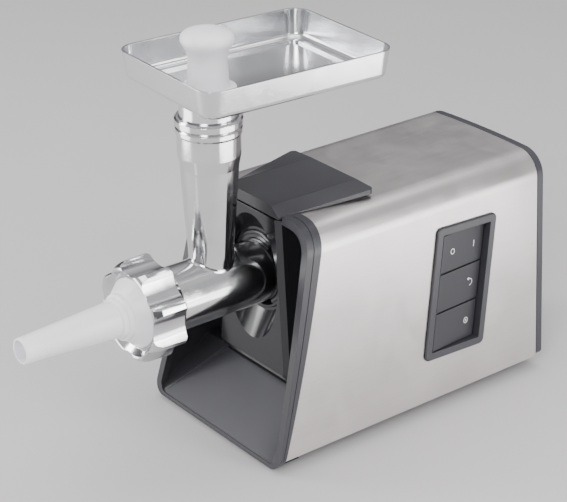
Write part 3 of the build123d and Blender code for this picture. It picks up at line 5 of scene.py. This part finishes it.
import bpy
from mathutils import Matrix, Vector


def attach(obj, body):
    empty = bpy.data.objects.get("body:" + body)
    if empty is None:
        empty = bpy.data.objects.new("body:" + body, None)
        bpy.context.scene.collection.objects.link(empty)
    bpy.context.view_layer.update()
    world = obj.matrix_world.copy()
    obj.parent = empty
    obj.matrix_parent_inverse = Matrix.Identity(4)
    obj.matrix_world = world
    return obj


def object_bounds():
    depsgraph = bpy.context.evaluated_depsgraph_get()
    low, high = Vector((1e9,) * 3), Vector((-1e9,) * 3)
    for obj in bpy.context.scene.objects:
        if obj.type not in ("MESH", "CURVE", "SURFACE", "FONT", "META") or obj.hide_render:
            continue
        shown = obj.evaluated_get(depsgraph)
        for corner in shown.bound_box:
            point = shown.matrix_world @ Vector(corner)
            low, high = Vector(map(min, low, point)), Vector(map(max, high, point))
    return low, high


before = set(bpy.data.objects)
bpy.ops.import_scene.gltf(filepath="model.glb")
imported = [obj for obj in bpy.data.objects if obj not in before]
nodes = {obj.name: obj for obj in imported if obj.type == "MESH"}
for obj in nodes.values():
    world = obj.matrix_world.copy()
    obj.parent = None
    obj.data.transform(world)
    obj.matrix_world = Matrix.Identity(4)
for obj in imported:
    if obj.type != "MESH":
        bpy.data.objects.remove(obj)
cad_low, cad_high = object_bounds()


# ---------------------------------------------------------------- material helpers


class Finish:
    """One material: a Principled shader, and short calls that wire nodes into it."""

    def __init__(self, name, **constants):
        self.material = bpy.data.materials.new(name)
        self.material.use_nodes = True
        self.tree = self.material.node_tree
        self.shader = self.tree.nodes["Principled BSDF"]
        self.place = self.node("ShaderNodeTexCoord").outputs["Object"]
        for socket, value in constants.items():
            self.shader.inputs[socket.replace("_", " ")].default_value = value

    def node(self, kind, inputs=None, **settings):
        made = self.tree.nodes.new(kind)
        for name, value in settings.items():
            setattr(made, name, value)
        for socket, value in (inputs or {}).items():
            if isinstance(value, bpy.types.NodeSocket):
                self.tree.links.new(value, made.inputs[socket])
            else:
                made.inputs[socket].default_value = value
        return made

    def stretched(self, x, y, z):
        """The place on the object, scaled by x, y and z, which stretches a pattern."""
        mapping = self.node("ShaderNodeMapping", {"Vector": self.place, "Scale": (x, y, z)})
        return mapping.outputs["Vector"]

    def noise(self, scale, detail=3.0, place=None, distortion=0.0):
        made = self.node(
            "ShaderNodeTexNoise",
            {
                "Vector": place or self.place,
                "Scale": scale,
                "Detail": detail,
                "Roughness": 0.5,
                "Distortion": distortion,
            },
        )
        return made.outputs["Fac"]

    def cells(self, scale, randomness):
        made = self.node(
            "ShaderNodeTexVoronoi", {"Vector": self.place, "Scale": scale, "Randomness": randomness}
        )
        return made.outputs["Distance"]

    def bands(self, scale, distortion, direction):
        """Parallel bands that follow each other along the axis named by direction."""
        made = self.node(
            "ShaderNodeTexWave",
            {"Vector": self.place, "Scale": scale, "Distortion": distortion},
            bands_direction=direction,
        )
        return made.outputs["Fac"]

    def spread(self, value, low, high, to_low=0.0, to_high=1.0):
        """value from low..high taken to to_low..to_high, and held there outside."""
        made = self.node(
            "ShaderNodeMapRange",
            {"Value": value, "From Min": low, "From Max": high, "To Min": to_low, "To Max": to_high},
        )
        return made.outputs["Result"]

    def math(self, operation, a, b):
        made = self.node("ShaderNodeMath", {0: a, 1: b}, operation=operation)
        return made.outputs["Value"]

    def blend(self, share, first, second):
        made = self.node("ShaderNodeMix", data_type="RGBA")
        self.feed(made.inputs[0], share)
        self.feed(made.inputs[6], first)
        self.feed(made.inputs[7], second)
        return made.outputs[2]

    def feed(self, socket, value):
        if isinstance(value, bpy.types.NodeSocket):
            self.tree.links.new(value, socket)
        elif isinstance(value, tuple) and len(value) == 3:
            socket.default_value = (*value, 1.0)
        else:
            socket.default_value = value

    def worn_edge(self, radius, gain):
        """Near 1 along convex and concave edges, 0 on open surface."""
        rounded = self.node("ShaderNodeBevel", {"Radius": radius}, samples=4)
        flat = self.node("ShaderNodeNewGeometry").outputs["Normal"]
        facing = self.node("ShaderNodeVectorMath", operation="DOT_PRODUCT")
        self.tree.links.new(rounded.outputs["Normal"], facing.inputs[0])
        self.tree.links.new(flat, facing.inputs[1])
        return self.spread(facing.outputs["Value"], 1.0 - 1.0 / gain, 1.0, 1.0, 0.0)

    def color(self, value):
        self.feed(self.shader.inputs["Base Color"], value)

    def roughness(self, value):
        self.feed(self.shader.inputs["Roughness"], value)

    def relief(self, height, distance, edge_radius=0.0):
        """Surface relief of distance metres, over edges rounded by edge_radius."""
        made = self.node("ShaderNodeBump", {"Height": height, "Distance": distance, "Strength": 1.0})
        if edge_radius > 0:
            rounded = self.node("ShaderNodeBevel", {"Radius": edge_radius}, samples=4)
            self.tree.links.new(rounded.outputs["Normal"], made.inputs["Normal"])
        self.tree.links.new(made.outputs["Normal"], self.shader.inputs["Normal"])


def toned(tone, gain, lift=0.0):
    """tone made gain times as bright, with lift added to each channel."""
    return tuple(min(1.0, c * gain + lift) for c in tone)


def brushed_metal(name, tone, rough, along, grain_depth):
    """Metal with fine brush lines that run along the axis whose stretch is small."""
    edge_radius = 0.0003
    finish = Finish(name, Metallic=1.0)
    lines = finish.noise(1.0, detail=2.0, place=finish.stretched(*along))
    patches = finish.noise(14.0, detail=2.0)
    smudges = finish.noise(38.0, detail=4.0, distortion=0.6)
    tint = finish.spread(finish.math("ADD", lines, patches), 0.7, 1.3)
    finish.color(finish.blend(tint, toned(tone, 0.93), toned(tone, 1.05)))
    worn = finish.spread(smudges, 0.35, 0.75, rough * 0.88, rough * 1.15)
    finish.roughness(finish.math("ADD", worn, finish.spread(lines, 0.3, 0.7, -0.02, 0.03)))
    finish.relief(lines, grain_depth, edge_radius)
    return finish.material


def polished_metal(name, tone, rough, ripple, edge_radius):
    """Tumbled and polished metal: faint waves, fine scratches, duller hollows."""
    finish = Finish(name, Metallic=1.0)
    waves = finish.noise(46.0, detail=1.0)
    scratches = finish.noise(1.0, detail=2.0, place=finish.stretched(900.0, 160.0, 420.0))
    stains = finish.noise(24.0, detail=5.0, distortion=1.2)
    finish.color(finish.blend(finish.spread(stains, 0.35, 0.7), tone, toned(tone, 0.9)))
    dull = finish.spread(stains, 0.3, 0.75, rough * 0.75, rough * 1.5)
    finish.roughness(finish.math("ADD", dull, finish.spread(scratches, 0.55, 0.8, 0.0, 0.06)))
    height = finish.math("ADD", waves, finish.math("MULTIPLY", scratches, 0.05))
    finish.relief(height, ripple, edge_radius)
    return finish.material


def moulded_plastic(name, tone, rough, grain_scale=2600.0, grain_depth=0.000002, wear=0.12):
    """Moulded plastic: fine spark-eroded grain, faint flow marks and paler rubbed edges."""
    edge_radius = 0.0005
    finish = Finish(name)
    grain = finish.noise(grain_scale, detail=2.0)
    flow = finish.noise(18.0, detail=3.0, distortion=0.8)
    dust = finish.noise(420.0, detail=4.0)
    base = finish.blend(finish.spread(flow, 0.3, 0.7), toned(tone, 0.94), toned(tone, 1.06))
    rubbed = finish.math("MULTIPLY", finish.worn_edge(edge_radius * 1.6, 6.0), wear)
    finish.color(finish.blend(rubbed, base, toned(tone, 1.9, 0.01)))
    finish.roughness(finish.spread(finish.math("ADD", flow, dust), 0.4, 1.6, rough * 0.93, rough * 1.08))
    finish.relief(grain, grain_depth, edge_radius)
    return finish.material


def white_plastic():
    """Milky food-grade plastic with a soft inner glow."""
    finish = Finish(
        "milky_plastic",
        Subsurface_Weight=0.35,
        Subsurface_Radius=(0.006, 0.005, 0.0055),
        Subsurface_Scale=1.0,
        IOR=1.49,
    )
    cloud = finish.noise(22.0, detail=3.0)
    grain = finish.noise(900.0, detail=3.0)
    finish.color(finish.blend(finish.spread(cloud, 0.3, 0.7), (0.84, 0.82, 0.86), (0.9, 0.88, 0.92)))
    finish.roughness(finish.spread(grain, 0.3, 0.7, 0.3, 0.38))
    finish.relief(grain, 0.000012, 0.0006)
    return finish.material


def rubber(name, tone):
    """Matt rubber with a fine speckle and a pale bloom."""
    finish = Finish(name, Sheen_Weight=0.2, Sheen_Roughness=0.6)
    speckle = finish.noise(1500.0, detail=3.0)
    bloom = finish.noise(60.0, detail=4.0)
    finish.color(finish.blend(finish.spread(bloom, 0.4, 0.8), tone, toned(tone, 2.0, 0.01)))
    finish.roughness(finish.spread(speckle, 0.3, 0.7, 0.62, 0.85))
    finish.relief(speckle, 0.00004, 0.0006)
    return finish.material


def copper():
    """Enamelled winding: fine parallel turns, amber enamel."""
    finish = Finish("enamelled_copper", Metallic=0.9, Coat_Weight=0.6, Coat_Roughness=0.15)
    turns = finish.bands(420.0, 0.6, "X")
    patch = finish.noise(120.0, detail=3.0)
    finish.color(finish.blend(patch, (0.46, 0.14, 0.035), (0.66, 0.25, 0.07)))
    finish.roughness(finish.spread(patch, 0.3, 0.7, 0.22, 0.42))
    finish.relief(turns, 0.00012)
    return finish.material


def laminated_iron():
    """Stacked electrical steel: thin sheets along the shaft, dark oxide."""
    finish = Finish("laminated_iron", Metallic=1.0)
    sheets = finish.bands(320.0, 0.15, "Y")
    oxide = finish.noise(90.0, detail=4.0)
    finish.color(finish.blend(oxide, (0.16, 0.15, 0.15), (0.34, 0.32, 0.31)))
    finish.roughness(finish.spread(oxide, 0.3, 0.7, 0.35, 0.6))
    finish.relief(sheets, 0.00006)
    return finish.material


def board_green():
    """Circuit board: solder mask over faint copper tracks."""
    finish = Finish("board_mask", Coat_Weight=0.5, Coat_Roughness=0.2)
    tracks = finish.spread(finish.cells(170.0, randomness=0.35), 0.42, 0.5)
    weave = finish.noise(1400.0, detail=2.0)
    finish.color(finish.blend(tracks, (0.012, 0.11, 0.045), (0.03, 0.2, 0.08)))
    finish.roughness(finish.spread(weave, 0.3, 0.7, 0.28, 0.4))
    finish.relief(weave, 0.00003)
    return finish.material


def carbon():
    """Pressed carbon: matt black with open pores."""
    finish = Finish("carbon_brush")
    pores = finish.noise(900.0, detail=5.0)
    finish.color(finish.blend(pores, (0.008, 0.008, 0.009), (0.05, 0.05, 0.05)))
    finish.roughness(finish.spread(pores, 0.3, 0.7, 0.5, 0.75))
    finish.relief(pores, 0.00005)
    return finish.material


def printed_ink():
    """Screen-printed white ink, slightly mottled."""
    finish = Finish("printed_white")
    mottle = finish.noise(1800.0, detail=3.0)
    finish.color(finish.blend(mottle, (0.62, 0.62, 0.63), (0.78, 0.78, 0.79)))
    finish.roughness(finish.spread(mottle, 0.3, 0.7, 0.45, 0.6))
    finish.relief(mottle, 0.000008)
    return finish.material


# ---------------------------------------------------------------- a material for every slot

SLATE = (0.034, 0.034, 0.040)
LENGTHWAYS = (2400.0, 14.0, 2400.0)
ROUND_THE_SHAFT = (900.0, 2200.0, 900.0)

materials = {
    "steel_skin": brushed_metal("brushed_steel", (0.62, 0.58, 0.575), 0.34, LENGTHWAYS, 0.000012),
    "frame_plastic": moulded_plastic("frame_slate", SLATE, 0.33),
    "hood_plastic": moulded_plastic("hood_slate", (0.03, 0.03, 0.035), 0.34),
    "column_gloss": moulded_plastic(
        "column_gloss", (0.014, 0.014, 0.017), 0.14, grain_scale=60.0, grain_depth=0.00001, wear=0.05
    ),
    "base_plastic": moulded_plastic("base_black", (0.025, 0.025, 0.028), 0.5),
    "black_plastic": moulded_plastic("part_black", (0.02, 0.02, 0.022), 0.42),
    "bezel_plastic": moulded_plastic("bezel_slate", SLATE, 0.38),
    "key_plastic": moulded_plastic("key_slate", (0.024, 0.024, 0.029), 0.36),
    "socket_plastic": moulded_plastic("socket_black", (0.02, 0.02, 0.024), 0.22),
    "gearbox_plastic": moulded_plastic("glass_filled_nylon", (0.03, 0.03, 0.032), 0.55),
    "gear_nylon": moulded_plastic("gear_nylon", (0.72, 0.7, 0.62), 0.42),
    "foot_rubber": rubber("foot_rubber", (0.018, 0.018, 0.019)),
    "screw_steel": polished_metal("zinc_screw", (0.55, 0.55, 0.54), 0.3, 0.00002, 0.0002),
    "machined_steel": brushed_metal("machined_steel", (0.58, 0.57, 0.56), 0.24, ROUND_THE_SHAFT, 0.00001),
    "brass_parts": polished_metal("brass", (0.78, 0.57, 0.24), 0.25, 0.00002, 0.0002),
    "polished_aluminium": polished_metal("polished_aluminium", (0.68, 0.68, 0.69), 0.12, 0.00012, 0.0007),
    "cast_aluminium": polished_metal("cast_aluminium", (0.6, 0.6, 0.6), 0.38, 0.00015, 0.0003),
    "tray_aluminium": polished_metal("tray_aluminium", (0.72, 0.725, 0.74), 0.17, 0.00008, 0.0006),
    "white_plastic": white_plastic(),
    "copper_wire": copper(),
    "laminated_iron": laminated_iron(),
    "carbon_block": carbon(),
    "board_green": board_green(),
}
print_white = printed_ink()

for node in nodes.values():
    for slot, old in enumerate(node.data.materials):
        node.data.materials[slot] = materials[old.name.split(".")[0]]


# ---------------------------------------------------------------- plain meshes

SQUARE = ((-1, -1), (1, -1), (1, 1), (-1, 1))


def mesh_object(name, vertices, faces, material):
    """Object of plain vertices and faces, linked into the scene."""
    mesh = bpy.data.meshes.new(name)
    mesh.from_pydata(vertices, [], faces)
    mesh.materials.append(material)
    made = bpy.data.objects.new(name, mesh)
    bpy.context.scene.collection.objects.link(made)
    return made


# ---------------------------------------------------------------- printed marks on the keys

WALL_FOOT_X = 0.0834              # half width of the housing at the table
WALL_LEAN = 0.071                 # how much each side wall closes in per metre of height
PANEL_Y = 0.1343
PANEL_Z = 0.103
PANEL_POINT = Vector((WALL_FOOT_X - WALL_LEAN * PANEL_Z, PANEL_Y, PANEL_Z))
PANEL_LEAN = math.atan(0.148)     # forward lean of the panel's long edges
PANEL_DROP = math.atan(0.038)     # fall of its short edges towards the rear
FIELD_HALF_W = 0.026              # half the width of the key field, along the housing
FIELD_HALF_H = 0.0492             # half its height
KEY_COUNT = 3
KEY_FRONT_GAP = 0.0009
KEY_REAR_GAP = 0.0012
KEY_PROUD = 0.0017                # the front edge of the keys' faces, outside the wall
KEY_TILT = math.radians(6.5)      # the rear edge of each key is sunk
KEY_W = 2 * FIELD_HALF_W * math.cos(PANEL_LEAN) - KEY_FRONT_GAP - KEY_REAR_GAP
KEY_H = 2 * FIELD_HALF_H / KEY_COUNT / math.cos(PANEL_LEAN)
KEY_RISE = math.tan(PANEL_LEAN - PANEL_DROP)

PRINT_TOP = 0.00005
PRINT_ROOT = -0.0002
FRONT_MARK_U = 0.0125
REAR_MARK_U = 0.0385
BAR_HALF_W = 0.0004
BAR_HALF_H = 0.0026
HOOK_OUTER_R = 0.0031
HOOK_INNER_R = 0.0025
HOOK_TAIL_X = -0.0014


def key_point(u, v, proud):
    """Point of the keys' common face: u from their front edge, v upwards from the middle key."""
    out = Vector((1, 0, WALL_LEAN)).normalized()
    along = Vector((0, 1, 0))
    up = out.cross(along)
    lean_x = along * math.cos(PANEL_LEAN) - up * math.sin(PANEL_LEAN)
    lean_y = along * math.sin(PANEL_LEAN) + up * math.cos(PANEL_LEAN)
    face_x = lean_x * math.cos(KEY_TILT) - out * math.sin(KEY_TILT)
    face_out = out * math.cos(KEY_TILT) + lean_x * math.sin(KEY_TILT)
    front_u = KEY_FRONT_GAP - FIELD_HALF_W * math.cos(PANEL_LEAN)
    corner = PANEL_POINT + lean_x * front_u + out * KEY_PROUD
    return corner + face_x * u + lean_y * v + face_out * proud


def arc_points(radius, start=0.0, turn=360.0, count=32):
    """Points along an arc, or round a full circle without its first point again."""
    steps = count if turn == 360.0 else count - 1
    angles = [math.radians(start + turn * step / steps) for step in range(count)]
    return [(radius * math.cos(a), radius * math.sin(a)) for a in angles]


def print_faces(base, count, hollow):
    """Faces of one printed shape whose lower points start at base, each ring count points long."""
    layer = 2 * count if hollow else count
    faces = []
    if not hollow:
        faces.append([base + layer + i for i in range(count)])
        faces.append([base + i for i in reversed(range(count))])
    for i in range(count):
        j = (i + 1) % count
        if hollow:
            faces.append([base + layer + k for k in (i, j, count + j, count + i)])
            faces.append([base + k for k in (count + i, count + j, j, i)])
            faces.append([base + count + k for k in (j, i, layer + i, layer + j)])
        faces.append([base + k for k in (i, j, layer + j, layer + i)])
    return faces


def printed_mark(name, body, key, u, shapes):
    """Thin printed mark on a key, 1 at the top to -1. Each shape is an outer and an inner ring."""
    middle_v = key * KEY_H + KEY_RISE * (u - KEY_W / 2)
    vertices = []
    faces = []
    for outer, inner in shapes:
        faces += print_faces(len(vertices), len(outer), bool(inner))
        for proud in (PRINT_ROOT, PRINT_TOP):
            vertices += [key_point(u + x, middle_v + y, proud) for x, y in outer + inner]
    mark = mesh_object(name, vertices, faces, print_white)
    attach(mark, body)


off_ring = [(arc_points(0.0025), arc_points(0.0018))]
on_bar = [([(x * BAR_HALF_W, y * BAR_HALF_H) for x, y in SQUARE], [])]
hook = arc_points(HOOK_OUTER_R, -90.0, 180.0, 16)
hook += [(HOOK_TAIL_X, HOOK_OUTER_R), (HOOK_TAIL_X, HOOK_INNER_R)]
hook += arc_points(HOOK_INNER_R, 90.0, -180.0, 16)
arrow_head = [(-0.0012, 0.0014), (-0.0012, 0.0042), (-0.0036, 0.0028)]
bent_arrow = [(hook, []), (arrow_head, [])]
dotted_ring = [(arc_points(0.0026), arc_points(0.002)), (arc_points(0.0008), [])]

printed_mark("mark_off", "power_key", 1, FRONT_MARK_U, off_ring)
printed_mark("mark_on", "power_key", 1, REAR_MARK_U, on_bar)
printed_mark("mark_reverse", "reverse_button", 0, REAR_MARK_U, bent_arrow)
printed_mark("mark_reset", "reset_button", -1, REAR_MARK_U, dotted_ring)


# ---------------------------------------------------------------- painted shade lines along the hood's creases

CREASE_SHADE_X = 0.0274


def crease_shade_strip(name, x):
    """Thin dark strip along the crease of the hood at x: painted shade where the flat top meets the
    sloping facet.
    """
    half = 0.0004
    front, rear = -0.0214, 0.0624
    under, over = 0.2012, 0.20144
    ring = [(x - half, under), (x + half, under), (x + half, over), (x - half, over)]
    vertices = [(ring_x, y, ring_z) for y in (front, rear) for ring_x, ring_z in ring]
    faces = [(0, 1, 2, 3), (7, 6, 5, 4)]
    faces += [(i, (i + 1) % 4, (i + 1) % 4 + 4, i + 4) for i in range(4)]
    shade_strip = mesh_object(name, vertices, faces, materials["base_plastic"])
    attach(shade_strip, "housing")


# thin strips of black plastic on both creases: painted shade of the crease lines, not grooves
crease_shade_strip("hood_crease_shade_right", CREASE_SHADE_X)
crease_shade_strip("hood_crease_shade_left", -CREASE_SHADE_X)


# ---------------------------------------------------------------- studio


def studio_floor():
    """Wide sheet of grey paper at z = 0."""
    reach = 6.0
    finish = Finish("floor_paper", Specular_IOR_Level=0.2)
    fibre = finish.noise(8.0, detail=4.0)
    finish.color(finish.blend(fibre, (0.50, 0.485, 0.49), (0.54, 0.52, 0.525)))
    finish.roughness(0.9)
    corners = [(x * reach, y * reach, 0) for x, y in SQUARE]
    floor = mesh_object("floor", corners, [(0, 1, 2, 3)], finish.material)


def studio_world():
    """Surround that is dim at the horizon and bright overhead."""
    world = bpy.data.worlds.new("studio")
    world.use_nodes = True
    tree = world.node_tree
    background = tree.nodes["Background"]
    place = tree.nodes.new("ShaderNodeTexCoord")
    split = tree.nodes.new("ShaderNodeSeparateXYZ")
    ramp = tree.nodes.new("ShaderNodeValToRGB")
    tree.links.new(place.outputs["Generated"], split.inputs[0])
    tree.links.new(split.outputs["Z"], ramp.inputs["Fac"])
    tree.links.new(ramp.outputs["Color"], background.inputs["Color"])
    background.inputs["Strength"].default_value = 0.9
    stops = ramp.color_ramp.elements
    stops[0].position = 0.0
    stops[0].color = (0.1, 0.1, 0.105, 1)
    stops[1].position = 0.75
    stops[1].color = (0.92, 0.92, 0.94, 1)
    stops.new(0.22).color = (0.2, 0.2, 0.21, 1)
    bpy.context.scene.world = world


def aim(item, place, direction):
    """Link item into the scene at place, looking along direction."""
    item.location = place
    item.rotation_mode = "QUATERNION"
    item.rotation_quaternion = direction.to_track_quat("-Z", "Y")
    bpy.context.scene.collection.objects.link(item)


def softbox(name, place, target, size, power, seen=True):
    """Rectangular light at place, turned to target."""
    light = bpy.data.lights.new(name, "AREA")
    light.shape = "RECTANGLE"
    light.size, light.size_y = size
    light.energy = power
    lamp = bpy.data.objects.new(name, light)
    lamp.visible_camera = seen
    aim(lamp, place, Vector(target) - Vector(place))


def camera():
    """Long lens in front of the outlet and the key panel, looking down on them."""
    azimuth = math.radians(51.567)
    elevation = math.radians(25.587)
    reach = 1.4814
    target = Vector((-0.022174, 0.030, 0.129283))
    level = math.cos(elevation)
    back = Vector((math.sin(azimuth) * level, -math.cos(azimuth) * level, math.sin(elevation)))
    optics = bpy.data.cameras.new("camera")
    optics.lens = 116.095
    optics.sensor_width = 36.0
    eye = bpy.data.objects.new("camera", optics)
    aim(eye, target + reach * back, -back)
    bpy.context.scene.camera = eye


studio_floor()
studio_world()
middle = (cad_low + cad_high) / 2
softbox("key_softbox", (1.1, -1.5, 1.3), middle, (0.7, 0.9), 36.0)
softbox("left_softbox", (-1.3, -1.2, 0.9), middle, (0.5, 1.4), 26.0)
softbox("right_softbox", (1.6, 0.6, 0.8), middle, (0.5, 1.2), 18.0)
softbox("top_softbox", (-0.2, 0.3, 1.9), middle, (1.4, 1.4), 20.0)
# low boxes that the upright polished faces mirror
softbox("right_low_softbox", (0.52, 0.22, 0.06), (0.05, -0.05, 0.32), (0.6, 0.34), 3.2, seen=False)
softbox("left_low_softbox", (-0.36, -0.62, 0.06), (0.0, -0.08, 0.32), (0.5, 0.34), 2.6, seen=False)
camera()
